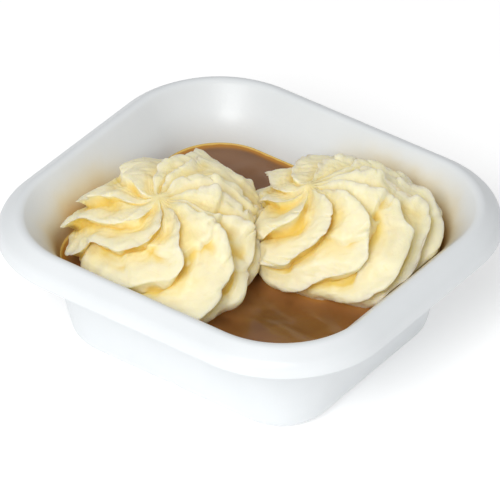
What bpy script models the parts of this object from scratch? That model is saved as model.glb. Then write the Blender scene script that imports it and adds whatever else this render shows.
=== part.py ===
"""Mashed potato side: two piped rosettes of mash standing in gravy, in a rectangular meal dish.

Metres, +Z up. The origin is at the centre of the dish's footprint, on the surface that it stands on.
X runs along the dish's longer sides. The two rosettes lie on a diagonal and press against each other.
"""

import math

import bmesh
import bpy
import numpy as np

# Driving sizes of the dish, across the outside of its turned-down lip
DISH_LENGTH = 0.135
DISH_WIDTH = 0.124
LIP_CREST_HEIGHT = 0.0450
LIP_SKIRT_HEIGHT = 0.0374
LIP_CREST_INSET = 0.0070
LIP_CREST_RADIUS = 0.0026
LIP_SHOULDER_INSET = 0.0010
LIP_SHOULDER_HEIGHT = 0.0415
LIP_SHOULDER_RADIUS = 0.0050
LIP_CORNER_RADIUS = 0.0360
WALL_THICKNESS = 0.0020
FLOOR_HEIGHT = 0.0020
FLOOR_EDGE_INSET = 0.0240
FLOOR_EDGE_RADIUS = 0.0045
FLARE_INSET = 0.0168
FLARE_HEIGHT = 0.0347
FLARE_RADIUS = 0.0200
FLOOR_MIDDLE_INSET = 0.0340
CORNER_TIGHTENING = 0.90  # how much of an inset comes off the corner radius

# Notch in the foot at the middle of each longer side
NOTCH_HALF_WIDTH = 0.0030
NOTCH_DEPTH = 0.0011
NOTCH_TOP = 0.0080

# Gravy, and the clearances between solids that touch
GRAVY_LEVEL = 0.0285
SOLID_GAP = 0.0003
WALL_GAP = 0.0007
SEAM_GAP = 0.0008

# Mash: sizes that both rosettes share
CREST_SHARE = 0.76  # where the crest stands between one groove and the next
SCOOP_POWER = 1.5
FALL_POWER = 1.15
CREST_ROUNDING = 0.12
FOLD_LEAN = 0.60  # how far a crest hangs over its groove, as a share of its height
FOLD_SWAY = 4.5  # how far a crest winds from side to side as it climbs, in degrees
CALM_RADIUS = 0.0055  # folds fade out inside this distance of the swirl
UNDERCUT = 0.12
PEAK_HEIGHT = 0.0018
PEAK_RADIUS = 0.0034
SEAM_WAVE = 0.0012  # how far the face where the rosettes meet strays from flat

# Each rosette: the middle of its foot, its foot's radius with ten reaches round it, the height of its dome,
# and the swirl where its folds meet. The ledge is (middle and half width in degrees, climb, depth). A fold is
# (directions of its crest in degrees at the climbs in CLIMB_STOPS, height).
CLIMB_STOPS = (0.0, 0.2, 0.4, 0.6, 0.8, 1.0)
ROSETTES = {
    "mash_front_left": {
        "centre": (-0.0196, -0.0125),
        "radius": 0.0290,
        "top": 0.0522,
        "swirl": (-0.0184, -0.0213),
        "ledge": (-20, 55, 0.67, 0.0016),
        "reach": (1.06, 1.00, 0.98, 0.98, 0.95, 0.98, 1.06, 1.08, 1.30, 1.30),
        "folds": (
            ((20, 30, 40, 60, 82, 100), 0.0040),
            ((62, 70, 78, 92, 108, 135), 0.0036),
            ((100, 105, 110, 118, 134, 170), 0.0042),
            ((146, 158, 169, 180, 193, 210), 0.0036),
            ((178, 190, 202, 213, 224, 240), 0.0044),
            ((205, 215, 226, 246, 276, 285), 0.0056),
            ((225, 238, 249, 283, 305, 315), 0.0056),
            ((262, 273, 300, 318, 322, 335), 0.0048),
            ((296, 318, 346, 350, 345, 352), 0.0056),
            ((332, 348, 372, 366, 358, 370), 0.0044),
            ((356, 370, 386, 396, 390, 400), 0.0042),
        ),
    },
    "mash_back_right": {
        "centre": (0.0210, 0.0162),
        "radius": 0.0278,
        "top": 0.0518,
        "swirl": (0.0130, 0.0115),
        "ledge": (0, 50, 0.64, 0.0018),
        "reach": (1.06, 1.08, 1.02, 1.00, 1.04, 1.00, 1.00, 1.06, 1.02, 1.22),
        "folds": (
            ((-2, 21, 55, 65, 70, 70), 0.0042),
            ((30, 50, 75, 85, 92, 95), 0.0038),
            ((62, 78, 95, 108, 118, 125), 0.0038),
            ((97, 112, 130, 150, 170, 190), 0.0042),
            ((132, 148, 166, 184, 208, 240), 0.0050),
            ((165, 182, 196, 212, 240, 275), 0.0056),
            ((198, 218, 242, 264, 286, 302), 0.0054),
            ((230, 250, 277, 308, 320, 330), 0.0056),
            ((268, 292, 316, 346, 345, 350), 0.0054),
            ((300, 327, 367, 381, 378, 375), 0.0058),
            ((327, 337, 395, 403, 402, 400), 0.0050),
        ),
    },
}

# Faceting
CORNER_STEPS = 7
FILLET_STEPS = 4
FOLD_SAMPLES = (0.0, 0.28, 0.52, 0.67, 0.76, 0.84, 0.92)
HEIGHT_STEPS = 18

# The rosettes' stems below the gravy's surface: height, radius, and share of the surface's own outline
STEM_STEPS = (
    (FLOOR_HEIGHT + SOLID_GAP, 0.0190, 0.0),
    (GRAVY_LEVEL * 0.55, 0.0215, 0.4),
    (GRAVY_LEVEL - 0.0012, 0.0265, 1.0),
)
CUTTER_GROWTH = 0.00045

POTATO = ("mashed_potato", (0.91, 0.80, 0.50), 0.45)
GRAVY = ("gravy", (0.20, 0.075, 0.018), 0.12)
MOULDED_WHITE = ("moulded_white", (0.86, 0.87, 0.87), 0.35)


def clear_scene():
    for old in list(bpy.data.objects):
        bpy.data.objects.remove(old)


def new_collection(name):
    collection = bpy.data.collections.new(name)
    bpy.context.scene.collection.children.link(collection)
    return collection


def material(name, colour, roughness):
    made = bpy.data.materials.new(name)
    made.use_nodes = True
    shader = made.node_tree.nodes["Principled BSDF"]
    shader.inputs["Base Color"].default_value = (*colour, 1.0)
    shader.inputs["Roughness"].default_value = roughness
    shader.inputs["Metallic"].default_value = 0.0
    return made


def add_object(name, mesh_data, collection, finish=None):
    made = bpy.data.objects.new(name, mesh_data)
    collection.objects.link(made)
    if finish is not None:
        mesh_data.materials.append(finish)
    return made


def shade_round(mesh_data, angle_deg=40):
    mesh_data.shade_smooth()
    mesh_data.set_sharp_from_angle(angle=math.radians(angle_deg))


def rounded_path(corners):
    """Points along a path of (inset, height, radius) corners, each corner turned into a tangent arc."""
    points = [np.array(corners[0][:2])]
    for before, corner, after in zip(corners, corners[1:], corners[2:]):
        at, radius = np.array(corner[:2]), corner[2]
        to_before = np.array(before[:2]) - at
        to_after = np.array(after[:2]) - at
        to_before /= np.linalg.norm(to_before)
        to_after /= np.linalg.norm(to_after)
        half = math.acos(float(np.clip(to_before @ to_after, -1, 1))) / 2
        middle = (to_before + to_after) / np.linalg.norm(to_before + to_after)
        hub = at + middle * radius / math.sin(half)
        start = at + to_before * radius / math.tan(half) - hub
        end = at + to_after * radius / math.tan(half) - hub
        turn = math.pi - 2 * half
        for step in range(FILLET_STEPS + 1):
            share = step / FILLET_STEPS
            a = math.sin((1 - share) * turn) / math.sin(turn)
            b = math.sin(share * turn) / math.sin(turn)
            points.append(hub + start * a + end * b)
    points.append(np.array(corners[-1][:2]))
    return np.array(points)


def dish_profile():
    """The food side of the dish from its floor out over the lip, as rows of (inset from the lip, height)."""
    return rounded_path(
        (
            (FLOOR_MIDDLE_INSET, FLOOR_HEIGHT),
            (FLOOR_EDGE_INSET, FLOOR_HEIGHT, FLOOR_EDGE_RADIUS),
            (FLARE_INSET, FLARE_HEIGHT, FLARE_RADIUS),
            (LIP_CREST_INSET, LIP_CREST_HEIGHT + 0.0010, LIP_CREST_RADIUS),
            (LIP_SHOULDER_INSET, LIP_SHOULDER_HEIGHT, LIP_SHOULDER_RADIUS),
            (0.0, LIP_SKIRT_HEIGHT),
        )
    )


def inner_profile(height):
    """How far inside the lip's outline the food side of the wall stands at a height."""
    path = dish_profile()
    wall = path[: int(np.argmax(path[:, 1])) + 1]
    wall = wall[np.r_[True, np.diff(wall[:, 1]) > 1e-6]]
    return np.interp(height, wall[:, 1], wall[:, 0])


def outline_sizes(inset):
    """Half length, half width and corner radius of the dish's outline at an inset."""
    radius = LIP_CORNER_RADIUS - CORNER_TIGHTENING * inset
    return DISH_LENGTH / 2 - inset, DISH_WIDTH / 2 - inset, radius


def outline(inset):
    """Points round the dish at an inset: four corner arcs, with a few points along each side between them."""
    half_x, half_y, radius = outline_sizes(inset)
    arcs = []
    for quarter, (sign_x, sign_y) in enumerate(((1, 1), (-1, 1), (-1, -1), (1, -1))):
        angles = math.pi / 2 * (quarter + np.linspace(0, 1, CORNER_STEPS))
        hub = np.array((sign_x * (half_x - radius), sign_y * (half_y - radius)))
        arcs.append(hub + radius * np.stack((np.cos(angles), np.sin(angles)), axis=1))
    points = []
    for arc, following in zip(arcs, arcs[1:] + arcs[:1]):
        points.extend(arc)
        for step in side_shares():
            points.append(arc[-1] * (1 - step) + following[0] * step)
    return np.array(points)


def side_shares():
    """Where the points along a side stand: close together at its middle, for the foot's notch."""
    return np.array((0.30, 0.46, 0.50, 0.54, 0.70))


def loft(rings, close_start, close_end):
    """A mesh of quads from one ring of points to the next, with a flat face over either end."""
    work = bmesh.new()
    rows = [[work.verts.new(point) for point in ring] for ring in rings]
    for lower, upper in zip(rows, rows[1:]):
        count = len(lower)
        for i in range(count):
            j = (i + 1) % count
            work.faces.new((lower[i], lower[j], upper[j], upper[i]))
    if close_start:
        work.faces.new(list(reversed(rows[0])))
    if close_end:
        work.faces.new(rows[-1])
    bmesh.ops.recalc_face_normals(work, faces=work.faces)
    made = bpy.data.meshes.new("loft")
    work.to_mesh(made)
    work.free()
    return made


def ring_at(inset, height):
    points = outline(inset)
    return np.column_stack((points, np.full(len(points), height)))


def notch_pull(ring):
    """Draws a ring's points in at the middle of the longer sides, where the foot has its notch."""
    near_middle = np.clip(1 - np.abs(ring[:, 0]) / NOTCH_HALF_WIDTH, 0, 1)
    low = np.clip(1 - ring[:, 2] / NOTCH_TOP, 0, 1)
    on_long_side = np.abs(ring[:, 1]) > np.abs(ring[:, 0])
    pulled = ring.copy()
    pulled[:, 1] -= np.sign(ring[:, 1]) * NOTCH_DEPTH * near_middle * low * on_long_side
    return pulled


def make_dish(collection, finish):
    """The dish is one sheet, its food side, given its wall by Solidify."""
    rings = [notch_pull(ring_at(inset, height)) for inset, height in dish_profile()]
    shell = loft(rings, close_start=True, close_end=False)
    work = bmesh.new()
    work.from_mesh(shell)
    floor = min(work.faces, key=lambda face: face.calc_center_median().z)
    if floor.normal.z < 0:
        bmesh.ops.reverse_faces(work, faces=work.faces)
    work.to_mesh(shell)
    work.free()
    shade_round(shell)
    dish = add_object("dish", shell, collection, finish)
    wall = dish.modifiers.new("wall", "SOLIDIFY")
    wall.thickness = WALL_THICKNESS
    wall.offset = -1.0
    wall.use_even_offset = True
    return dish


def smooth_step(value):
    value = np.clip(value, 0, 1)
    return value * value * (3 - 2 * value)


def fold_height(share):
    """Cross-section of one fold: a broad scoop up to the crest, and a short hollow fall after it."""
    rise = (share / CREST_SHARE) ** SCOOP_POWER
    fall = np.clip((1 - share) / (1 - CREST_SHARE), 0, 1) ** FALL_POWER
    sharp = np.where(share < CREST_SHARE, rise, fall)
    full = math.hypot(1, CREST_ROUNDING)
    return (full - np.hypot(1 - sharp, CREST_ROUNDING)) / (full - CREST_ROUNDING)


def crest_lines(rosette, climb):
    """Directions of every fold's crest, folds x climbs: straight between the stops, softened, and winding."""
    fine = np.linspace(-0.2, 1.2, 281)
    window = np.hanning(31) / np.hanning(31).sum()
    lines = []
    for number, (directions, _) in enumerate(rosette["folds"]):
        soft = np.convolve(np.interp(fine, CLIMB_STOPS, directions), window, mode="same")
        winding = FOLD_SWAY * np.sin(2 * np.pi * (1.7 * climb + 0.37 * number)) * 4 * climb * (1 - climb)
        lines.append(np.interp(climb, fine[20:-20], soft[20:-20]) + winding)
    return np.array(lines)


def foot_reach(rosette, degrees):
    """Distance from the middle to the foot in a direction: ten reaches round the rosette, blended."""
    stops = np.linspace(8, 368, len(rosette["reach"]), endpoint=False)
    return rosette["radius"] * np.interp(degrees, stops, rosette["reach"], period=360)


def dome(rosette, degrees, climb):
    """Points and outward directions of the bare mound. Height is a flattened arch over the distance."""
    middle, swirl = np.array(rosette["centre"]), np.array(rosette["swirl"])
    heading = np.radians(degrees)
    foot = middle + foot_reach(rosette, degrees)[..., None] * np.stack((np.cos(heading), np.sin(heading)), -1)
    share = np.cos(climb * np.pi / 2)[..., None] ** 0.80
    plan = swirl + (foot - swirl) * share
    away = plan - middle
    reach = foot_reach(rosette, np.degrees(np.arctan2(away[..., 1], away[..., 0])))
    far = np.clip(np.linalg.norm(away, axis=-1) / reach, 0, 1)
    rise = rosette["top"] - GRAVY_LEVEL
    lift = rise * np.sqrt(1 - far**2.2)
    outward = np.concatenate((away / reach[..., None] ** 2, (lift / rise**2)[..., None]), axis=-1)
    outward /= np.linalg.norm(outward, axis=-1, keepdims=True) + 1e-9
    waist = 1 - UNDERCUT * np.exp(-((climb / 0.10) ** 2))[..., None]
    points = np.concatenate((middle + away * waist, (GRAVY_LEVEL + lift)[..., None]), axis=-1)
    return points, outward


def rosette_surface(rosette, place, climb):
    """Grid of points, climbs x places. place runs round it in folds, climb from the gravy up to the swirl.

    Each fold stands out from the dome and leans over its groove. A ledge marks the last turn of the nozzle.
    """
    lines = crest_lines(rosette, climb)
    count = len(lines)
    fold, share = np.floor(place).astype(int) % count, (place - np.floor(place))[None, :]
    before = np.roll(lines, 1, axis=0)
    before[0] -= 360.0
    gap = (lines - before)[fold].T
    degrees = before[fold].T + gap * share
    level = np.broadcast_to(climb[:, None], degrees.shape)
    heights = np.array([entry[1] for entry in rosette["folds"]])[fold]

    ground, _ = dome(rosette, degrees, level)
    from_swirl = np.linalg.norm(ground[..., :2] - np.array(rosette["swirl"]), axis=-1)
    calm = np.tanh(from_swirl / CALM_RADIUS) ** 2
    room = np.tanh(np.radians(gap) * from_swirl / 0.0060)
    swell = 0.25 + 0.75 * smooth_step(level / 0.25) - 0.25 * smooth_step((level - 0.5) / 0.5)
    crest = fold_height(share)
    tall = heights * crest * swell * calm * room

    around, width, at, depth = rosette["ledge"]
    turned = np.abs((degrees - around + 180) % 360 - 180)
    lip = at + 0.04 * np.sin(np.radians(degrees) * 3)
    ledge = depth * smooth_step((level - lip) / 0.10 + 0.5) * (1 - smooth_step((turned - width) / 25 + 0.5))

    lean = FOLD_LEAN * tall * crest / np.maximum(from_swirl, CALM_RADIUS) * smooth_step(level / 0.2)
    points, outward = dome(rosette, degrees + np.degrees(lean), level)
    points = points + outward * (tall + ledge * calm)[..., None]
    points[..., 2] += PEAK_HEIGHT * np.exp(-((from_swirl / PEAK_RADIUS) ** 2))
    return points


def keep_in_dish(points, gap):
    """Presses points that would pass through the dish's wall back to a gap inside it."""
    inset = inner_profile(points[..., 2])
    half_x, half_y, radius = outline_sizes(inset)
    past_x = np.abs(points[..., 0]) - (half_x - radius)
    past_y = np.abs(points[..., 1]) - (half_y - radius)
    corner = np.stack((np.maximum(past_x, 0), np.maximum(past_y, 0)), axis=-1)
    length = np.linalg.norm(corner, axis=-1)
    outside = length + np.minimum(np.maximum(past_x, past_y), 0) - radius + gap
    push = np.maximum(outside, 0) / np.maximum(length, 1e-9)
    kept = points.copy()
    kept[..., 0] -= np.sign(points[..., 0]) * corner[..., 0] * push
    kept[..., 1] -= np.sign(points[..., 1]) * corner[..., 1] * push
    return kept


def seam_wave(across, height):
    """How far the face between the rosettes strays towards the second one, along it and up it."""
    return SEAM_WAVE * (np.sin(across / 0.0034 + 0.6) + 0.7 * np.sin(height / 0.0030))


def keep_own_side(points, name, gap):
    """Presses points back from the wavy face where the two rosettes meet, to half a gap on their own side."""
    left, right = (np.array(ROSETTES[key]["centre"]) for key in ROSETTES)
    side = 1.0 if name == "mash_front_left" else -1.0
    towards = (right - left) / np.linalg.norm(right - left)
    from_middle = points[..., :2] - (left + right) / 2
    across = from_middle @ np.array((-towards[1], towards[0]))
    beyond = side * (from_middle @ towards - seam_wave(across, points[..., 2])) + gap / 2
    kept = points.copy()
    kept[..., :2] -= side * np.maximum(beyond, 0)[..., None] * towards
    return kept


def rosette_rings(name):
    """Rings of a rosette from the gravy's level to just below the swirl."""
    rosette = ROSETTES[name]
    places = (np.arange(len(rosette["folds"]))[:, None] + np.array(FOLD_SAMPLES)).ravel()
    climbs = np.linspace(0, 1, HEIGHT_STEPS + 1)[:-1] ** 0.9
    rings = keep_in_dish(rosette_surface(rosette, places, climbs), WALL_GAP)
    return keep_own_side(rings, name, SEAM_GAP)


def with_height(ring, height):
    moved = ring.copy()
    moved[:, 2] = height
    return moved


def stem_rings(name, waterline):
    """A rosette narrows below the gravy's surface, so that the pool stays one body beside and under it."""
    middle = np.array(ROSETTES[name]["centre"])
    rings = []
    for height, radius, share in STEM_STEPS:
        ring = with_height(waterline, height)
        away = ring[:, :2] - middle
        circle = away / np.linalg.norm(away, axis=1, keepdims=True) * radius
        ring[:, :2] = middle + circle * (1 - share) + away * share
        rings.append(keep_in_dish(ring, WALL_GAP))
    return rings


def grown(ring, by):
    """A ring moved out sideways along its own normals."""
    before = (ring - np.roll(ring, 1, axis=0))[:, :2]
    after = (np.roll(ring, -1, axis=0) - ring)[:, :2]
    along = before / np.linalg.norm(before, axis=1, keepdims=True)
    along = along + after / np.linalg.norm(after, axis=1, keepdims=True)
    along /= np.linalg.norm(along, axis=1, keepdims=True)
    moved = ring.copy()
    moved[:, :2] += by * np.column_stack((along[:, 1], -along[:, 0]))
    return moved


def make_rosette(name, collection, finish):
    """One rosette: a narrowing stem below the gravy's surface and the piped dome above it."""
    rings = rosette_rings(name)
    first = with_height(rings[0], GRAVY_LEVEL + SOLID_GAP)
    rows = [*stem_rings(name, rings[0]), first, *rings[1:]]
    made = loft(rows, close_start=True, close_end=False)
    work = bmesh.new()
    work.from_mesh(made)
    summit = work.verts.new(rosette_surface(ROSETTES[name], np.zeros(1), np.ones(1))[0, 0])
    for edge in [edge for edge in work.edges if edge.is_boundary]:
        work.faces.new((*edge.verts, summit))
    bmesh.ops.recalc_face_normals(work, faces=work.faces)
    work.to_mesh(made)
    work.free()
    shade_round(made)
    return add_object(name, made, collection, finish)


def make_cutter(name, collection):
    """The room that a rosette's stem needs in the gravy."""
    stem = [grown(ring, CUTTER_GROWTH) for ring in stem_rings(name, rosette_rings(name)[0])]
    rows = [with_height(stem[0], 0.0), *stem, with_height(stem[-1], GRAVY_LEVEL * 1.2)]
    tool = loft(rows, close_start=True, close_end=True)
    cutter = add_object(name + "_cutter", tool, collection)
    cutter.hide_render = True
    cutter.display_type = "WIRE"
    return cutter


def make_gravy(collection, cutters, finish):
    """The pool of gravy fills the dish up to its level, round the stems of both rosettes."""
    path = dish_profile()
    low = path[:, 1] < GRAVY_LEVEL - 0.001
    rows = [(inset + WALL_GAP, height) for inset, height in path[low]]
    rows = [(inset, max(height, FLOOR_HEIGHT + SOLID_GAP)) for inset, height in rows[1:]]
    rows.append((float(inner_profile(GRAVY_LEVEL)) + WALL_GAP, GRAVY_LEVEL))
    pool = loft([ring_at(inset, height) for inset, height in rows], True, True)
    gravy = add_object("gravy", pool, collection, finish)
    for name in ROSETTES:
        cut = gravy.modifiers.new("room_for_" + name, "BOOLEAN")
        cut.operation = "DIFFERENCE"
        cut.solver = "EXACT"
        cut.object = make_cutter(name, cutters)
    return gravy


def main():
    clear_scene()
    parts = new_collection("mashed_potato_side")
    cutters = new_collection("cutters")
    make_dish(parts, material(*MOULDED_WHITE))
    potato = material(*POTATO)
    for name in ROSETTES:
        make_rosette(name, parts, potato)
    make_gravy(parts, cutters, material(*GRAVY))


main()
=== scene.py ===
# %% [markdown]
# # A side of piped mashed potato in gravy
# Two rosettes of mash stand in a pool of brown gravy, in a white moulded dish with a turned-down lip.
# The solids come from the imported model. This lesson dresses them: each piece is a surface worked out
# with numpy in metres, in the same frame as the solids, so nothing has to be fitted by eye.

# %% Load the frame
import math

import bpy
import numpy as np
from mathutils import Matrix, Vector


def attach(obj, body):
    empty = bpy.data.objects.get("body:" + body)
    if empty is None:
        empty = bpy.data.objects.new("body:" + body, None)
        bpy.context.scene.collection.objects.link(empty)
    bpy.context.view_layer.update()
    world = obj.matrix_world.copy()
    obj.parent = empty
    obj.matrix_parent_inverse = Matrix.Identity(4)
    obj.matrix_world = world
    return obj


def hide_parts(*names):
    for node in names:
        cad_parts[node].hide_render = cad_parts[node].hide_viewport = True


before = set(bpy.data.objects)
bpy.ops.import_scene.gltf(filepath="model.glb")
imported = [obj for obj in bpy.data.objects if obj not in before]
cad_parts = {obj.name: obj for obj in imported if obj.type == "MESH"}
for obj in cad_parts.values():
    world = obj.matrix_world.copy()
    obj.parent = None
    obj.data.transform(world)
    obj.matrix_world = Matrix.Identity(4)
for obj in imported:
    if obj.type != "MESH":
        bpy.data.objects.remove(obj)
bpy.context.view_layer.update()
print("solids:", sorted(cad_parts))

# %% [markdown]
# ## The camera
# A long lens from far away, as for a catalogue picture, keeps the dish's sides nearly parallel.
# The camera looks down by 36 degrees at one corner of the dish. It is raised a little along its own
# upward direction, which puts the dish below the middle of the picture without shifting the lens.

# %% Camera
AZIMUTH, ELEVATION = math.radians(36.688), math.radians(36.212)
SENSOR_MM, LENS_MM = 36, 464.58
CAMERA_DISTANCE, AIM_HEIGHT, RAISED_BY = 1.9605, 0.02094, 0.006683
TO_CAMERA = Vector(
    (
        math.sin(AZIMUTH) * math.cos(ELEVATION),
        -math.cos(AZIMUTH) * math.cos(ELEVATION),
        math.sin(ELEVATION),
    )
)
CAMERA_UP = TO_CAMERA.cross(Vector((math.cos(AZIMUTH), math.sin(AZIMUTH), 0)))

camera = bpy.data.objects.new("camera", bpy.data.cameras.new("camera"))
bpy.context.scene.collection.objects.link(camera)
camera.data.sensor_width, camera.data.lens = SENSOR_MM, LENS_MM
camera.data.clip_start, camera.data.clip_end = 0.05, 20
camera.location = Vector((0, 0, AIM_HEIGHT)) + CAMERA_UP * RAISED_BY + TO_CAMERA * CAMERA_DISTANCE
camera.rotation_euler = TO_CAMERA.to_track_quat("Z", "Y").to_euler()
bpy.context.scene.camera = camera
print("camera at", tuple(round(value, 3) for value in camera.location))

# %% [markdown]
# ## From arrays to meshes
# Every piece below is a grid of points: rows run up or along it, columns run round it. One helper joins
# the last column to the first, fans either end shut where the piece is closed, and stores an optional
# number per point. The finishes read that number, so that a colour can follow a ridge or a groove.


# %% Grid helper
def grid_piece(name, rows, cap_start=False, cap_end=False, marks=None):
    """Mesh of a grid of points, closed round its columns. rows has the shape rows x columns x 3."""
    row_count, column_count = rows.shape[:2]
    points = rows.reshape(-1, 3)
    index = np.arange(row_count * column_count).reshape(row_count, column_count)
    here, beside = index[:-1], np.roll(index, -1, axis=1)[:-1]
    above, above_beside = index[1:], np.roll(index, -1, axis=1)[1:]
    faces = np.stack((here, beside, above_beside, above), axis=-1).reshape(-1, 4).tolist()
    if cap_start:
        middle = len(points)
        points = np.vstack((points, rows[0].mean(axis=0)))
        first = index[0]
        faces += np.column_stack((np.roll(first, -1), first, np.full(column_count, middle))).tolist()
    if cap_end:
        middle = len(points)
        points = np.vstack((points, rows[-1].mean(axis=0)))
        last = index[-1]
        faces += np.column_stack((last, np.roll(last, -1), np.full(column_count, middle))).tolist()
    mesh = bpy.data.meshes.new(name)
    mesh.from_pydata(points.tolist(), [], faces)
    for mark, values in (marks or {}).items():
        flat = np.asarray(values, float).ravel()
        extra = len(points) - len(flat)
        flat = np.concatenate((flat, np.full(extra, flat[-1] if extra else 0.0)))
        mesh.attributes.new(mark, "FLOAT", "POINT").data.foreach_set("value", flat)
    mesh.shade_smooth()
    piece = bpy.data.objects.new(name, mesh)
    bpy.context.scene.collection.objects.link(piece)
    print(name, "has", len(points), "points")
    return piece


def waves(points, length, seed, count=22):
    """Soft random relief, mostly from -1 to 1: plane waves of about one length, in seeded directions."""
    chance = np.random.default_rng(seed)
    direction = chance.normal(size=(count, 3))
    direction /= np.linalg.norm(direction, axis=1, keepdims=True)
    pace = 2 * np.pi / (length * chance.uniform(0.75, 1.5, count))
    phase = chance.uniform(0, 2 * np.pi, count)
    swell = np.cos(points @ (direction * pace[:, None]).T + phase)
    return swell.sum(axis=-1) / math.sqrt(count) / 1.4


def smooth_step(value):
    """A rise from 0 to 1 that starts and ends level."""
    value = np.clip(value, 0, 1)
    return value * value * (3 - 2 * value)


def grid_normals(rows):
    """Unit normals of a grid that is closed round its columns, from the slopes along its two directions."""
    round_it = np.roll(rows, -1, axis=1) - np.roll(rows, 1, axis=1)
    up_it = np.gradient(rows, axis=0)
    normal = np.cross(round_it, up_it)
    return normal / np.maximum(np.linalg.norm(normal, axis=-1, keepdims=True), 1e-12)


# %% [markdown]
# ## The shape of the dish
# The dish is one outline, a rounded rectangle, carried along a profile: up the wall, over the lip and
# down its skirt. Both are functions, so the gravy and the mash can ask where the wall is. The sizes are
# those of the solid dish.

# %% Dish sizes and profile
HALF_LENGTH, HALF_WIDTH = 0.0675, 0.0620
SKIRT_FOOT, LIP_CORNER = 0.0374, 0.0360
TIGHTENING, WALL, FLOOR = 0.90, 0.0020, 0.0020
GRAVY_LEVEL = 0.0285
WALL_CORNERS = (
    (0.0340, FLOOR),
    (0.0240, FLOOR, 0.0045),
    (0.0168, 0.0347, 0.0200),
    (0.0070, 0.0460, 0.0026),
    (0.0010, 0.0415, 0.0050),
    (0.0000, SKIRT_FOOT),
)


def rounded_path(corners, steps):
    """Points along a path of (inset, height, radius) corners, each corner turned into a tangent arc."""
    points = [np.array(corners[0][:2])]
    for before, corner, after in zip(corners, corners[1:], corners[2:]):
        at, radius = np.array(corner[:2]), corner[2]
        to_before, to_after = np.array(before[:2]) - at, np.array(after[:2]) - at
        to_before /= np.linalg.norm(to_before)
        to_after /= np.linalg.norm(to_after)
        half = math.acos(float(np.clip(to_before @ to_after, -1, 1))) / 2
        middle = (to_before + to_after) / np.linalg.norm(to_before + to_after)
        hub = at + middle * radius / math.sin(half)
        start = at + to_before * radius / math.tan(half) - hub
        end = at + to_after * radius / math.tan(half) - hub
        turn = math.pi - 2 * half
        share = np.linspace(0, 1, steps + 1)[:, None]
        a = np.sin((1 - share) * turn) / math.sin(turn)
        b = np.sin(share * turn) / math.sin(turn)
        points.extend(hub + start * a + end * b)
    points.append(np.array(corners[-1][:2]))
    return np.array(points)


DISH_PATH = rounded_path(WALL_CORNERS, 12)


def wall_inset(height):
    """How far inside the lip's outline the food side of the wall stands at a height."""
    wall = DISH_PATH[: int(np.argmax(DISH_PATH[:, 1])) + 1]
    wall = wall[np.r_[True, np.diff(wall[:, 1]) > 1e-6]]
    return np.interp(height, wall[:, 1], wall[:, 0])


def outline_sizes(inset):
    """Half length, half width and corner radius of the outline at an inset. Corners tighten inwards."""
    return HALF_LENGTH - inset, HALF_WIDTH - inset, LIP_CORNER - TIGHTENING * inset


def outline(inset, corner_steps=26, side_steps=30):
    """Points round the dish at an inset: four arcs with straight sides between them, evenly divided."""
    half_x, half_y, radius = outline_sizes(inset)
    arcs = []
    for quarter, (sign_x, sign_y) in enumerate(((1, 1), (-1, 1), (-1, -1), (1, -1))):
        angles = math.pi / 2 * (quarter + np.linspace(0, 1, corner_steps))
        hub = np.array((sign_x * (half_x - radius), sign_y * (half_y - radius)))
        arcs.append(hub + radius * np.stack((np.cos(angles), np.sin(angles)), axis=1))
    sides = np.linspace(0, 1, side_steps + 2)[1:-1, None]
    whole = []
    for arc, following in zip(arcs, arcs[1:] + arcs[:1]):
        whole += [arc, arc[-1] * (1 - sides) + following[0] * sides]
    return np.vstack(whole)


def ring_at(inset, height):
    """The outline at an inset, laid level at a height."""
    points = outline(inset)
    return np.column_stack((points, np.full(len(points), height)))


WALL_AT_GRAVY = float(wall_inset(GRAVY_LEVEL))
print("profile of", len(DISH_PATH), "points; wall at the gravy", round(WALL_AT_GRAVY * 1000, 1), "mm in")

# %% [markdown]
# ## Shader maths as sentences
# A finish is easier to read as an expression than as a pile of nodes. `Strand` wraps one socket: adding or
# multiplying strands adds the Math nodes, `blend` mixes two colours, and `node` makes any other node from
# its type, its settings and what goes into its sockets.


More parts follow.
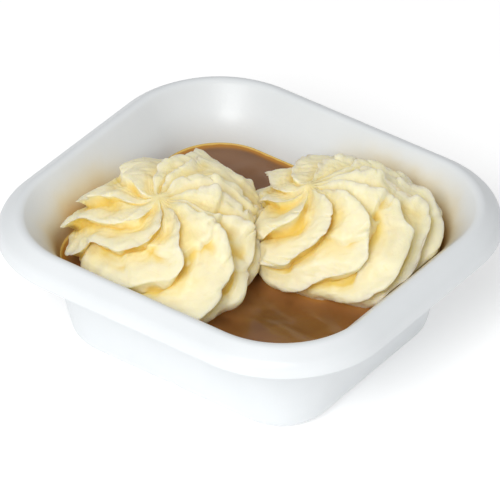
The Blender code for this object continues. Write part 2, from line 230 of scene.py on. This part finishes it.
# %% Strand
class Strand:
    """One output socket in a material's node tree, with arithmetic."""

    def __init__(self, tree, socket=None):
        self.tree, self.socket = tree, socket

    def node(self, kind, settings=None, inputs=None, output=0):
        """Adds a node, fills its sockets with strands or values, and gives one of its outputs."""
        made = self.tree.nodes.new(kind)
        for key, value in (settings or {}).items():
            setattr(made, key, value)
        for key, value in (inputs or {}).items():
            if isinstance(value, Strand):
                self.tree.links.new(value.socket, made.inputs[key])
            else:
                made.inputs[key].default_value = value
        return Strand(self.tree, made.outputs[output])

    def maths(self, operation, first, second=0.0):
        return self.node("ShaderNodeMath", {"operation": operation}, {0: first, 1: second})

    def __add__(self, other):
        return self.maths("ADD", self, other)

    def __radd__(self, other):
        return self.maths("ADD", other, self)

    def __sub__(self, other):
        return self.maths("SUBTRACT", self, other)

    def __rsub__(self, other):
        return self.maths("SUBTRACT", other, self)

    def __mul__(self, other):
        return self.maths("MULTIPLY", self, other)

    def __rmul__(self, other):
        return self.maths("MULTIPLY", other, self)

    def ease(self, low, high):
        """0 below low, 1 above high, and a smooth rise between them."""
        sockets = {"Value": self, "From Min": low, "From Max": high}
        return self.node("ShaderNodeMapRange", {"interpolation_type": "SMOOTHSTEP"}, sockets)

    def blend(self, low, high):
        """A colour that goes from low to high as this strand goes from 0 to 1."""
        sockets = {0: self}
        for place, colour in ((6, low), (7, high)):
            sockets[place] = colour if isinstance(colour, Strand) else (*colour, 1.0)
        return self.node("ShaderNodeMix", {"data_type": "RGBA"}, sockets, output=2)

    def noise(self, scale, detail=3.0, roughness=0.5, distortion=0.0):
        """Noise over the object's own coordinates, with scale in lumps per metre."""
        place = self.node("ShaderNodeTexCoord", output=3)
        sockets = {"Vector": place, "Scale": scale, "Detail": detail}
        sockets |= {"Roughness": roughness, "Distortion": distortion}
        return self.node("ShaderNodeTexNoise", inputs=sockets)

    def mark(self, name):
        """A number stored on the mesh's points."""
        return self.node("ShaderNodeAttribute", {"attribute_name": name}, output=2)

    def height(self):
        """How high a point stands, in metres."""
        place = self.node("ShaderNodeTexCoord", output=3)
        return self.node("ShaderNodeSeparateXYZ", inputs={0: place}, output=2)

    def relief(self, depth):
        """A normal from this strand as a height of the given depth in metres."""
        return self.node("ShaderNodeBump", inputs={"Strength": 1.0, "Distance": depth, "Height": self})


def new_finish(name):
    """A material, with the strand that starts its expressions."""
    made = bpy.data.materials.new(name)
    made.use_nodes = True
    return made, Strand(made.node_tree)


def coat_with(made, **channels):
    """Feeds the Principled shader: underscores in a channel's name stand for spaces."""
    shader = made.node_tree.nodes["Principled BSDF"]
    for channel, value in channels.items():
        socket = shader.inputs[channel.replace("_", " ")]
        if isinstance(value, Strand):
            made.node_tree.links.new(value.socket, socket)
        else:
            socket.default_value = value


def from_screen(code):
    """A screen colour such as f6e8b0 as the linear numbers that shaders take."""
    parts = np.array([int(code[i : i + 2], 16) for i in (0, 2, 4)]) / 255
    linear = np.where(parts <= 0.04045, parts / 12.92, ((parts + 0.055) / 1.055) ** 2.4)
    return tuple(float(part) for part in linear)


print("cream in linear light:", from_screen("f6e8b0"))

# %% [markdown]
# ## The mash
# Each rosette was piped through a star nozzle that turned as it rose. The real thing is a dome of soft
# folds: each fold has a broad scooped face, a thin crest that leans over the next groove, and here and
# there a torn edge where the nozzle let go. Sculpting it by hand would be slow and hard to change. Here a
# point is a place round the rosette, counted in folds, and a climb from 0 at the gravy to 1 at the swirl,
# off the middle, where all the folds meet. A table gives each fold the direction of its crest at six
# climbs, its height and how torn it is, and another how far the foot reaches out all round.

# %% Fold tables
CREST_SHARE, SCOOP_POWER, FALL_POWER, CREST_ROUNDING = 0.76, 1.5, 1.15, 0.12
FOLD_LEAN, FOLD_SWAY = 0.60, 4.5
FOLD_STRAY, STEADY_REACH = 4.6, 0.031
PEAK_HEIGHT, PEAK_RADIUS = 0.0018, 0.0034
CALM_RADIUS, UNDERCUT = 0.0055, 0.12
SEAM_WAVE, SEAM_GAP = 0.0022, -0.0007
CLIMB_STOPS = (0.0, 0.2, 0.4, 0.6, 0.8, 1.0)
ROSETTES = {
    "mash_front_left": {
        "centre": (-0.0196, -0.0125),
        "radius": 0.0290,
        "top": 0.0522,
        "swirl": (-0.0184, -0.0213),
        "ledge": (-20, 55, 0.67, 0.0016),
        "reach": (
            *(1.06, 1.03, 1.00, 0.99, 0.98, 0.98, 0.98, 0.96, 0.95, 0.96),
            *(0.98, 1.02, 1.06, 1.07, 1.10, 1.22, 1.36, 1.58, 1.38, 1.14),
        ),
        "folds": (
            ((20, 30, 40, 60, 82, 100), 0.0040, 0.9),
            ((62, 70, 78, 92, 108, 135), 0.0036, 0.7),
            ((100, 105, 110, 118, 134, 170), 0.0042, 0.6),
            ((146, 158, 169, 180, 193, 210), 0.0036, 0.9),
            ((178, 190, 202, 213, 224, 240), 0.0044, 0.7),
            ((205, 215, 226, 246, 276, 285), 0.0056, 0.3),
            ((225, 238, 249, 283, 305, 315), 0.0056, 0.2),
            ((262, 273, 300, 318, 322, 335), 0.0048, 0.2),
            ((296, 318, 346, 350, 345, 352), 0.0056, 0.4),
            ((332, 348, 372, 366, 358, 370), 0.0044, 0.6),
            ((356, 370, 386, 396, 390, 400), 0.0042, 1.0),
        ),
    },
    "mash_back_right": {
        "centre": (0.0210, 0.0162),
        "radius": 0.0278,
        "top": 0.0518,
        "swirl": (0.0130, 0.0115),
        "ledge": (0, 50, 0.64, 0.0018),
        "reach": (1.06, 1.08, 1.02, 1.00, 1.04, 1.00, 1.00, 1.06, 1.02, 1.26),
        "folds": (
            ((-2, 21, 55, 65, 70, 70), 0.0042, 0.6),
            ((30, 50, 75, 85, 92, 95), 0.0038, 1.0),
            ((62, 78, 95, 108, 118, 125), 0.0038, 1.0),
            ((97, 112, 130, 150, 170, 190), 0.0042, 0.5),
            ((132, 148, 166, 184, 208, 240), 0.0050, 0.3),
            ((165, 182, 196, 212, 240, 275), 0.0056, 0.2),
            ((198, 218, 242, 264, 286, 302), 0.0054, 0.7),
            ((230, 250, 277, 308, 320, 330), 0.0056, 0.8),
            ((268, 292, 316, 346, 345, 350), 0.0054, 0.2),
            ((300, 327, 367, 381, 378, 375), 0.0058, 0.3),
            ((327, 337, 395, 403, 402, 400), 0.0050, 0.4),
        ),
    },
}


def crest_lines(rosette, climb):
    """Directions of every fold's crest, folds x climbs: straight between stops, softened, and winding."""
    fine = np.linspace(-0.2, 1.2, 281)
    window = np.hanning(31) / np.hanning(31).sum()
    lines = []
    for number, (directions, _, _) in enumerate(rosette["folds"]):
        soft = np.convolve(np.interp(fine, CLIMB_STOPS, directions), window, mode="same")
        winding = FOLD_SWAY * np.sin(2 * np.pi * (1.7 * climb + 0.37 * number)) * 4 * climb * (1 - climb)
        lines.append(np.interp(climb, fine[20:-20], soft[20:-20]) + winding)
    return np.array(lines)


# %% [markdown]
# The dome under the folds is a smooth mound over an uneven footprint. A point on it lies, seen from above,
# on the straight line from the swirl to the foot. Its height falls off with its distance from the middle.


# %% Dome
FIRST_REACH = 8  # the direction of the table's first reach, in degrees
MOUND_ROUNDNESS = 2.2  # 2 would be a round arch, more is flatter on top


def foot_reach(rosette, degrees):
    """Distance from the middle to the foot in a direction: a smooth blend of the two nearest reaches."""
    reach = np.array(rosette["reach"])
    steps = np.mod(np.asarray(degrees) - FIRST_REACH, 360) * len(reach) / 360
    before = np.floor(steps).astype(int) % len(reach)
    share = smooth_step(steps - np.floor(steps))
    return rosette["radius"] * (reach[before] * (1 - share) + np.roll(reach, -1)[before] * share)


def dome(rosette, degrees, climb):
    """Points and outward directions of the bare mound. Height is a flattened arch over the distance."""
    middle, swirl = np.array(rosette["centre"]), np.array(rosette["swirl"])
    heading = np.radians(degrees)
    ahead = np.stack((np.cos(heading), np.sin(heading)), axis=-1)
    foot = middle + foot_reach(rosette, degrees)[..., None] * ahead
    share = np.cos(climb * np.pi / 2)[..., None] ** 0.80
    plan = swirl + (foot - swirl) * share
    away = plan - middle
    reach = foot_reach(rosette, np.degrees(np.arctan2(away[..., 1], away[..., 0])))
    far = np.clip(np.linalg.norm(away, axis=-1) / reach, 0, 1)
    rise = rosette["top"] - GRAVY_LEVEL
    lift = rise * np.sqrt(1 - far**MOUND_ROUNDNESS)
    outward = np.concatenate((away / reach[..., None] ** 2, (lift / rise**2)[..., None]), axis=-1)
    outward /= np.linalg.norm(outward, axis=-1, keepdims=True) + 1e-9
    waist = 1 - UNDERCUT * np.exp(-((climb / 0.10) ** 2))[..., None]
    points = np.concatenate((middle + away * waist, (GRAVY_LEVEL + lift)[..., None]), axis=-1)
    return points, outward


# %% [markdown]
# Each fold then stands out from the dome. The crest's height wavers along its length, as soft mash does,
# and where the table says so its edge is torn. A ledge, part of the way up on one side, is the last turn
# of the nozzle lying over the first. Soft creases wander over the scoops, and fine lines run along them,
# from the nozzle's teeth.


# %% Fold surface
def fold_height(share):
    """Cross-section of a fold: a broad scoop up to the crest, and a short hollow fall after it."""
    rise = (share / CREST_SHARE) ** SCOOP_POWER
    fall = np.clip((1 - share) / (1 - CREST_SHARE), 0, 1) ** FALL_POWER
    sharp = np.where(share < CREST_SHARE, rise, fall)
    full = math.hypot(1, CREST_ROUNDING)
    return (full - np.hypot(1 - sharp, CREST_ROUNDING)) / (full - CREST_ROUNDING)


def torn_edge(track, amount, seed):
    """How much a crest's height changes where its edge is torn: soft lumps with narrow notches between."""
    lumps = 0.20 * waves(track, 0.0042, seed) + 0.09 * waves(track, 0.0014, seed + 1)
    notches = 0.26 * np.exp(-((waves(track, 0.0052, seed + 2) / 0.16) ** 2))
    return amount * (lumps - notches)


def rosette_surface(rosette, place, climb, seed):
    """Grid of points, climbs x places, and how much each is on a crest (1) or in a groove (0)."""
    lines = crest_lines(rosette, climb)
    count = len(lines)
    fold, share = np.floor(place).astype(int) % count, (place - np.floor(place))[None, :]
    before = np.roll(lines, 1, axis=0)
    before[0] -= 360.0
    gap = (lines - before)[fold].T
    degrees = before[fold].T + gap * share
    heights = np.array([entry[1] for entry in rosette["folds"]])[fold]
    torn = np.array([entry[2] for entry in rosette["folds"]])[fold]
    level = np.broadcast_to(climb[:, None], degrees.shape)

    ground, _ = dome(rosette, degrees, level)
    from_swirl = np.linalg.norm(ground[..., :2] - np.array(rosette["swirl"]), axis=-1)
    calm = np.tanh(from_swirl / CALM_RADIUS) ** 2
    room = np.tanh(np.radians(gap) * from_swirl / 0.0060)
    crest = np.broadcast_to(fold_height(share), degrees.shape)
    track = np.stack((level * 0.030, np.broadcast_to(fold * 0.05, level.shape), 0 * level), axis=-1)
    waver = 1 + 0.26 * waves(track, 0.011, seed)
    edge = smooth_step((crest - 0.5) / 0.5)
    swell = 0.25 + 0.75 * smooth_step(level / 0.25) - 0.25 * smooth_step((level - 0.5) / 0.5)
    tall = heights * crest * swell * calm * room * (waver + edge * torn_edge(track, torn, seed + 1))

    around, width, at, depth = rosette["ledge"]
    turned = np.abs((degrees - around + 180) % 360 - 180)
    lip = at + 0.04 * np.sin(np.radians(degrees) * 3) + 0.03 * waves(ground, 0.004, seed + 6)
    ledge = depth * smooth_step((level - lip) / 0.06 + 0.5) * (1 - smooth_step((turned - width) / 25 + 0.5))
    turn = place[None, :] * 2 * np.pi / count
    round_x, round_y = (0.0185 * wave + 0 * level for wave in (np.cos(turn), np.sin(turn)))
    strip = np.stack((round_x, round_y, 0.022 * level), axis=-1)
    ridged = 1 - np.abs(waves(strip, 0.0110, seed + 7))
    creases = 0.0011 * (ridged - 0.45) + 0.00045 * waves(strip, 0.0050, seed + 8)
    teeth = 0.00007 * np.cos(2 * np.pi * 6 * share + 1.2 * fold) * (1 - crest)
    out = tall + (ledge + (creases + teeth) * smooth_step(level / 0.2)) * calm

    lean = FOLD_LEAN * tall * crest / np.maximum(from_swirl, CALM_RADIUS) * smooth_step(level / 0.2)
    steady = np.minimum(1, STEADY_REACH / foot_reach(rosette, degrees)) ** 1.6
    stray = FOLD_STRAY * waves(ground, 0.0125, seed + 9) * smooth_step(level / 0.3) * calm * steady
    points, outward = dome(rosette, degrees + np.degrees(lean) + stray, level)
    points = points + outward * out[..., None]
    points[..., 2] += PEAK_HEIGHT * np.exp(-((from_swirl / PEAK_RADIUS) ** 2))
    return points, crest * room * (0.6 + 0.4 * waver)


# %% [markdown]
# Soft mash gives way to what it meets. Two helpers press points back: one keeps them inside the dish's
# wall, the other on their own side of the wavy face where the rosettes touch.


# %% Pressing
def keep_in_dish(points, gap):
    """Points near or past the wall slow down softly, and move back the shortest way to a gap inside it."""
    soft = 0.0005
    half_x, half_y, radius = outline_sizes(wall_inset(points[..., 2]))
    past_x = np.abs(points[..., 0]) - (half_x - radius)
    past_y = np.abs(points[..., 1]) - (half_y - radius)
    corner = np.stack((np.maximum(past_x, 0), np.maximum(past_y, 0)), axis=-1)
    length = np.linalg.norm(corner, axis=-1)
    outside = length + np.minimum(np.maximum(past_x, past_y), 0) - radius + gap
    push = soft * np.logaddexp(0, outside / soft) / np.maximum(length, soft)
    kept = points.copy()
    kept[..., 0] -= np.sign(points[..., 0]) * corner[..., 0] * push
    kept[..., 1] -= np.sign(points[..., 1]) * corner[..., 1] * push
    return kept


def keep_own_side(points, name, gap):
    """Points near the wavy face between the rosettes slow down softly, and stop half a gap before it.
    A gap below 0 lets the two pieces overlap a little, so that no dark slit shows between them."""
    left, right = (np.array(ROSETTES[key]["centre"]) for key in ROSETTES)
    side = 1.0 if name == "mash_front_left" else -1.0
    towards = (right - left) / np.linalg.norm(right - left)
    from_middle = points[..., :2] - (left + right) / 2
    across = from_middle @ np.array((-towards[1], towards[0]))
    wave = SEAM_WAVE * (np.sin(across / 0.0034 + 0.6) + 0.7 * np.sin(points[..., 2] / 0.0030))
    room = gap / 2 - side * (wave - from_middle @ towards)
    soft = 0.0006
    eased = -soft * np.log1p(np.exp(np.clip(-room / soft, -40, 40)))
    kept = points.copy()
    kept[..., :2] -= side * ((room - eased) * (room > -7 * soft))[..., None] * towards
    return kept


def waterline(name):
    """The outline of a rosette at the gravy, as angle round its centre and distance, sorted by angle."""
    rosette = ROSETTES[name]
    place = np.linspace(0, len(rosette["folds"]), 400, endpoint=False)
    ring = rosette_surface(rosette, place, np.zeros(1), 5)[0][0]
    away = ring[:, :2] - np.array(rosette["centre"])
    angle = np.arctan2(away[:, 1], away[:, 0])
    order = np.argsort(angle)
    return angle[order], np.linalg.norm(away, axis=1)[order]


# %% [markdown]
# Each rosette is meshed with more columns near the crests, where the surface turns fast, and then given
# the soft lumps of mashed potato by moving points along their normals. It carries on a few millimetres
# below the gravy, and is closed underneath.


# %% Rosettes
FOLD_COLUMNS, CLIMB_ROWS = 42, 200


def hollowness(rows, outward, reach):
    """1 deep in a groove, 0 on a crest: how far the grid's local average lies above the surface."""
    average = rows
    width = 2 * reach + 1
    for _ in range(2):
        sideways = sum(np.roll(average, step, axis=1) for step in range(-reach, reach + 1)) / width
        padded = np.pad(sideways, ((reach, reach), (0, 0), (0, 0)), mode="edge")
        average = sum(padded[step : step + len(rows)] for step in range(width)) / width
    return np.clip(0.5 + ((average - rows) * outward).sum(axis=-1) / 0.0022, 0, 1)


def make_rosette(name, seed):
    """One rosette: the fold surface, pressed, with the lumps of mash and a root below the gravy."""
    rosette = ROSETTES[name]
    even = np.linspace(0, 1, FOLD_COLUMNS, endpoint=False)
    share = np.interp(even, (0, 0.58, 0.80, 1), (0, 0.66, 0.84, 1))
    place = (np.arange(len(rosette["folds"]))[:, None] + share).ravel()
    climb = np.linspace(0, 1, CLIMB_ROWS)[:-1] ** 0.92
    rows, crest = rosette_surface(rosette, place, climb, seed)
    rows = keep_own_side(keep_in_dish(rows, 0.0002), name, SEAM_GAP)
    outward = grid_normals(rows)
    hollow = hollowness(rows, outward, 8)
    lumps = 0.00028 * waves(rows, 0.0052, seed + 3) + 0.00010 * waves(rows, 0.0022, seed + 4)
    grain = 0.00003 * waves(rows, 0.0009, seed + 5)
    rows = rows + outward * ((lumps + grain) * smooth_step(climb / 0.05)[:, None])[..., None]
    root = rows[:1] * np.array((1, 1, 0)) + np.array((0, 0, GRAVY_LEVEL - 0.004))
    rows = np.concatenate((root, rows))
    crest, hollow = (np.concatenate((mark[:1], mark)) for mark in (crest, hollow))
    marks = {"crest": crest, "hollow": hollow}
    piece = grid_piece(name + "_dressed", rows, cap_start=True, cap_end=True, marks=marks)
    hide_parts(name)
    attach(piece, "root")
    return piece


rosette_pieces = [make_rosette("mash_front_left", 11), make_rosette("mash_back_right", 29)]

# %% [markdown]
# ### The finish of the mash
# Buttery mash is cream, with soft random blotches. Its crests are painted paler, a painted highlight, and
# its grooves a deeper yellow, painted shade and painted glow of light that has passed under the surface.
# It is moist, so it has a soft sheen, and light travels a little way under its surface. Close to the
# gravy it has soaked some up.

# %% Mash finish
mash, start = new_finish("buttery_mash")
crest_mark, hollow_mark = start.mark("crest"), start.mark("hollow")
clouds = start.noise(140, 3, 0.55)
# Painted highlight and shade: crests are made paler and hollows darker in the base colour, mixed with
# random cloudy tone.
painted_crest_light_and_mottle = (crest_mark * 0.55 + clouds * 0.55 - hollow_mark * 0.35).ease(0.0, 0.55)
cream = painted_crest_light_and_mottle.blend(from_screen("f2e0a0"), from_screen("f5ebc6"))
buttery = start.noise(330, 4, 0.6).ease(0.60, 0.78)
cream = (buttery * 0.30).blend(cream, from_screen("eed88c"))
# Painted shade: deep in the grooves the base colour turns a darker, saturated yellow, standing in for shade
# and light scattered under the surface; the cloud noise adds random tone.
deep = (hollow_mark + (clouds - 0.5) * 0.5).ease(0.50, 0.90)
cream = (deep * 0.85).blend(cream, from_screen("edcf60"))
wetted = start.height() + start.noise(420, 2) * 0.0035
soaked = 1 - wetted.ease(GRAVY_LEVEL + 0.0010, GRAVY_LEVEL + 0.0042)
cream = (soaked * 0.7).blend(cream, from_screen("cf9c4c"))
coat_with(
    mash,
    Base_Color=cream,
    Roughness=0.36 + start.noise(900, 3) * 0.22,
    Normal=(start.noise(1500, 4, 0.6) * 0.5 + start.noise(480, 2) * 0.5).relief(0.00018),
    Subsurface_Weight=0.70,
    Subsurface_Radius=(1.0, 0.90, 0.50),
    Subsurface_Scale=0.0050,
    Specular_IOR_Level=0.38,
)
for piece in rosette_pieces:
    piece.data.materials.append(mash)
print("mash finish has", len(mash.node_tree.nodes), "nodes")

# %% [markdown]
# ## The gravy
# Gravy lies level, but it isn't flat: it creeps up the wall and the mash where it touches them, and its
# cooling skin draws into faint folds. The pool is a polar grid that ends at the dish's inner outline, with
# those two effects added to its height, and a skirt that closes it below.


# %% Pool
POOL_RINGS, POOL_GAP = 190, 0.0003
POOL_RADIUS, CREEP = 0.045, 0.0012  # the gravy creeps up over about a millimetre


def distance_to_mash(points):
    """How far points lie outside both rosettes' outlines at the gravy, seen from above."""
    nearest = np.full(points.shape[:-1], 1.0)
    for name in ROSETTES:
        angles, reach = waterline(name)
        away = points[..., :2] - np.array(ROSETTES[name]["centre"])
        angle = np.arctan2(away[..., 1], away[..., 0])
        edge = np.interp(angle, angles, reach, period=2 * np.pi)
        nearest = np.minimum(nearest, np.linalg.norm(away, axis=-1) - edge)
    return nearest


def make_pool():
    """The pool as rings from its middle to the wall, and a skirt that closes it below."""
    rim = ring_at(WALL_AT_GRAVY + POOL_GAP, GRAVY_LEVEL)
    share = np.linspace(0.02, 1, POOL_RINGS)[:, None, None] ** 0.8
    flat = rim * np.array((1, 1, 0)) * share + np.array((0, 0, GRAVY_LEVEL))
    to_wall = np.exp(-(1 - share[..., 0]) * POOL_RADIUS / CREEP)
    from_mash = np.maximum(distance_to_mash(flat), 0)
    to_mash, beside = np.exp(-from_mash / CREEP), np.exp(-from_mash / 0.0075)
    swing = np.stack((waves(flat, 0.026, 71), waves(flat, 0.026, 72), 0 * flat[..., 0]), axis=-1)
    bent = flat + 0.006 * swing
    skin = 0.00020 * waves(bent * np.array((1, 1.3, 1)), 0.0150, 73) + 0.00003 * waves(bent, 0.0050, 74)
    calm = (1 - to_wall) * (1 - to_mash)
    top = flat.copy()
    top[..., 2] += skin * calm + 0.0009 * to_wall + 0.0010 * to_mash - 0.0002
    below = (GRAVY_LEVEL - 0.003, GRAVY_LEVEL - 0.012)
    skirt = [ring_at(float(wall_inset(height)) + POOL_GAP, height)[None] for height in below]
    rows = np.concatenate((top, *skirt))
    thin = np.concatenate((to_wall + 0 * to_mash, np.ones((2, rows.shape[1]))))
    wet, beside = (np.concatenate((mark, np.zeros((2, rows.shape[1])))) for mark in (to_mash, beside))
    marks = {"thin": thin, "wet": wet, "beside": beside}
    piece = grid_piece("gravy_pool", rows, cap_start=True, cap_end=True, marks=marks)
    piece.data.flip_normals()
    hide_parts("gravy")
    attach(piece, "root")
    return piece


pool = make_pool()

# %% [markdown]
# ### The finish of the gravy
# Meat gravy is dark where it is deep and turns amber where it thins out to a film against the wall. Its
# colour runs in soft streaks, and it mirrors the lights almost sharply.

# %% Gravy finish
gravy, start = new_finish("brown_gravy")
deep = start.noise(38, 1.0, 0.4, 0.5).ease(0.40, 0.66)
brown = deep.blend(from_screen("714923"), from_screen("83572d"))
brown = start.mark("beside").ease(0.10, 0.85).blend(brown, from_screen("99683a"))
brown = (start.noise(70, 1.0, 0.4, 0.4).ease(0.54, 0.70) * 0.40).blend(brown, from_screen("56300f"))
brown = (start.mark("wet").ease(0.15, 0.9) * 0.7).blend(brown, from_screen("b07a34"))
brown = start.mark("thin").ease(0.10, 0.45).blend(brown, from_screen("ae7526"))
ragged = start.mark("thin") + (start.noise(300, 2) - 0.5) * 0.2
brown = ragged.ease(0.55, 0.80).blend(brown, from_screen("dcb75e"))
coat_with(
    gravy,
    Base_Color=brown,
    Roughness=0.16 + start.noise(300, 2) * 0.08,
    Normal=start.noise(160, 1.0, 0.4, 0.4).relief(0.00006),
    Coat_Weight=0.30,
    Coat_Roughness=0.10,
    Subsurface_Weight=0.06,
    Subsurface_Radius=(1.0, 0.4, 0.12),
    Subsurface_Scale=0.0015,
)
pool.data.materials.append(gravy)
print("gravy finish has", len(gravy.node_tree.nodes), "nodes")

# %% [markdown]
# ## The dish
# A moulded dish is one sheet of even thickness, so it is made the way it is formed: the food side is a
# surface, carried along the profile, and Solidify gives it its wall. The middle of each longer side of the
# foot has a small notch, which keeps stacked dishes from sticking together.


# %% Dish
NOTCH_HALF_WIDTH, NOTCH_HEIGHT, NOTCH_DEPTH = 0.0030, 0.0080, 0.0011


def notch_pull(ring):
    """A ring with the notches pulled in: most at the middle of a longer side, and fading upwards."""
    near_middle = np.clip(1 - np.abs(ring[:, 0]) / NOTCH_HALF_WIDTH, 0, 1)
    low = np.clip(1 - ring[:, 2] / NOTCH_HEIGHT, 0, 1)
    on_long_side = np.abs(ring[:, 1]) > np.abs(ring[:, 0])
    pulled = ring.copy()
    pulled[:, 1] -= np.sign(ring[:, 1]) * NOTCH_DEPTH * smooth_step(near_middle) * low * on_long_side
    return pulled


def make_dish():
    """The outline carried along the profile: each profile point is one ring. Two marks tell the finish
    how near the mash is, seen from above, and which rings lie inside the lip's crest."""
    rows = np.array([notch_pull(ring_at(inset, height)) for inset, height in DISH_PATH])
    near = np.exp(-np.maximum(distance_to_mash(rows), 0) / 0.0095)
    crest = int(np.argmax([height for _, height in DISH_PATH]))
    inside = np.where(np.arange(len(rows)) <= crest, 1.0, 0.0)[:, None] + 0 * near
    piece = grid_piece("moulded_dish", rows, cap_start=True, marks={"near": near, "inside": inside})
    piece.data.flip_normals()
    wall = piece.modifiers.new("wall", "SOLIDIFY")
    wall.thickness, wall.offset, wall.use_even_offset = WALL, -1.0, True
    wall.material_offset = wall.material_offset_rim = 1
    soften = piece.modifiers.new("soft_edges", "BEVEL")
    soften.width, soften.segments, soften.limit_method = 0.0006, 3, "ANGLE"
    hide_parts("dish")
    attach(piece, "root")
    return piece


dish = make_dish()

# %% [markdown]
# ### The finish of the dish
# White moulded plastic: a satin sheen that varies a little from the mould, and a faint orange-peel
# relief. Inside, above the gravy, the wall is tinted warm beside the mash: an amber band low down, partly a
# greasy film of gravy and partly painted yellow light thrown by the mash, and a beige band higher up that
# is painted reflection and shade from the mash. The sheet's other side is clean, so it has a second
# material: Solidify gives it the next one in the list.


# %% Dish finish
def white_plastic(name, grease_and_bounce_tint):
    """Satin white plastic. The food side also has a warm tint beside the mash, part greasy film and part
    painted bounce light and shade, which follows height and the mash nearby.
    """
    white, start = new_finish(name)
    tone = start.noise(60, 2).blend(from_screen("dce0e2"), from_screen("e3e6e8"))
    if grease_and_bounce_tint:
        rise = start.height() - (start.noise(85, 3, 0.6) - 0.5) * 0.009
        inner = start.height().ease(GRAVY_LEVEL - 0.003, GRAVY_LEVEL) * start.mark("inside")
        beside, close = start.mark("near").ease(0.13, 0.45), start.mark("near").ease(0.28, 0.62)
        # Painted reflection and shade: a beige tint up the wall beside the mash stands in for the mash's
        # yellow light and the shade it casts on the wall.
        painted_mash_bounce_tint = (1 - rise.ease(GRAVY_LEVEL + 0.008, GRAVY_LEVEL + 0.0185)) * beside * inner
        tone = (painted_mash_bounce_tint * 0.62).blend(tone, from_screen("dcc688"))
        # Partly a real greasy gravy film and partly painted yellow bounce light from the mash: an amber
        # tint low on the wall close to the mash.
        amber = (1 - rise.ease(GRAVY_LEVEL + 0.003, GRAVY_LEVEL + 0.0125)) * close * inner
        tone = (amber * 0.80).blend(tone, from_screen("c48f30"))
    coat_with(
        white,
        Base_Color=tone,
        Roughness=0.30 + start.noise(240, 3) * 0.12,
        Normal=start.noise(1300, 2).relief(0.00003),
        Specular_IOR_Level=0.5,
    )
    print(name, "has", len(white.node_tree.nodes), "nodes")
    return white


dish.data.materials.append(white_plastic("moulded_white_plastic", True))
dish.data.materials.append(white_plastic("moulded_white_back", False))

# %% [markdown]
# ## Table and light
# A plain white table, a bright even surrounding, a soft light at the front that models the folds, and a
# weaker one overhead. The table is there for the picture only.

# %% Table and lights
TABLE_HALF = 4.0
table_mesh = bpy.data.meshes.new("table")
corners = [(x * TABLE_HALF, y * TABLE_HALF, 0) for x, y in ((-1, -1), (1, -1), (1, 1), (-1, 1))]
table_mesh.from_pydata(corners, [], [(0, 1, 2, 3)])
table = bpy.data.objects.new("table", table_mesh)
bpy.context.scene.collection.objects.link(table)
table_white = new_finish("table_white")[0]
coat_with(
    table_white,
    Base_Color=(0.93, 0.93, 0.93, 1.0),
    Roughness=0.9,
    Specular_IOR_Level=0.1,
    Emission_Color=(1.0, 1.0, 1.0, 1.0),
    Emission_Strength=0.28,
)
table_mesh.materials.append(table_white)

world = bpy.data.worlds.new("studio")
bpy.context.scene.world = world
world.use_nodes = True
surround = world.node_tree.nodes["Background"].inputs
surround["Color"].default_value, surround["Strength"].default_value = (1.0, 1.0, 1.0, 1.0), 0.44


def soft_light(name, position, size, watts):
    """A round soft light that faces the food."""
    lamp = bpy.data.lights.new(name, "AREA")
    lamp.shape, lamp.size, lamp.energy = "DISK", size, watts
    holder = bpy.data.objects.new(name, lamp)
    bpy.context.scene.collection.objects.link(holder)
    holder.location = position
    holder.rotation_euler = (Vector(position) - Vector((0, 0, 0.03))).to_track_quat("Z", "Y").to_euler()


soft_light("key", (0.27, -0.84, 0.80), 0.60, 8.8)
soft_light("fill", (-0.10, -0.20, 1.05), 0.80, 1.0)
bpy.context.scene.view_settings.view_transform = "Standard"
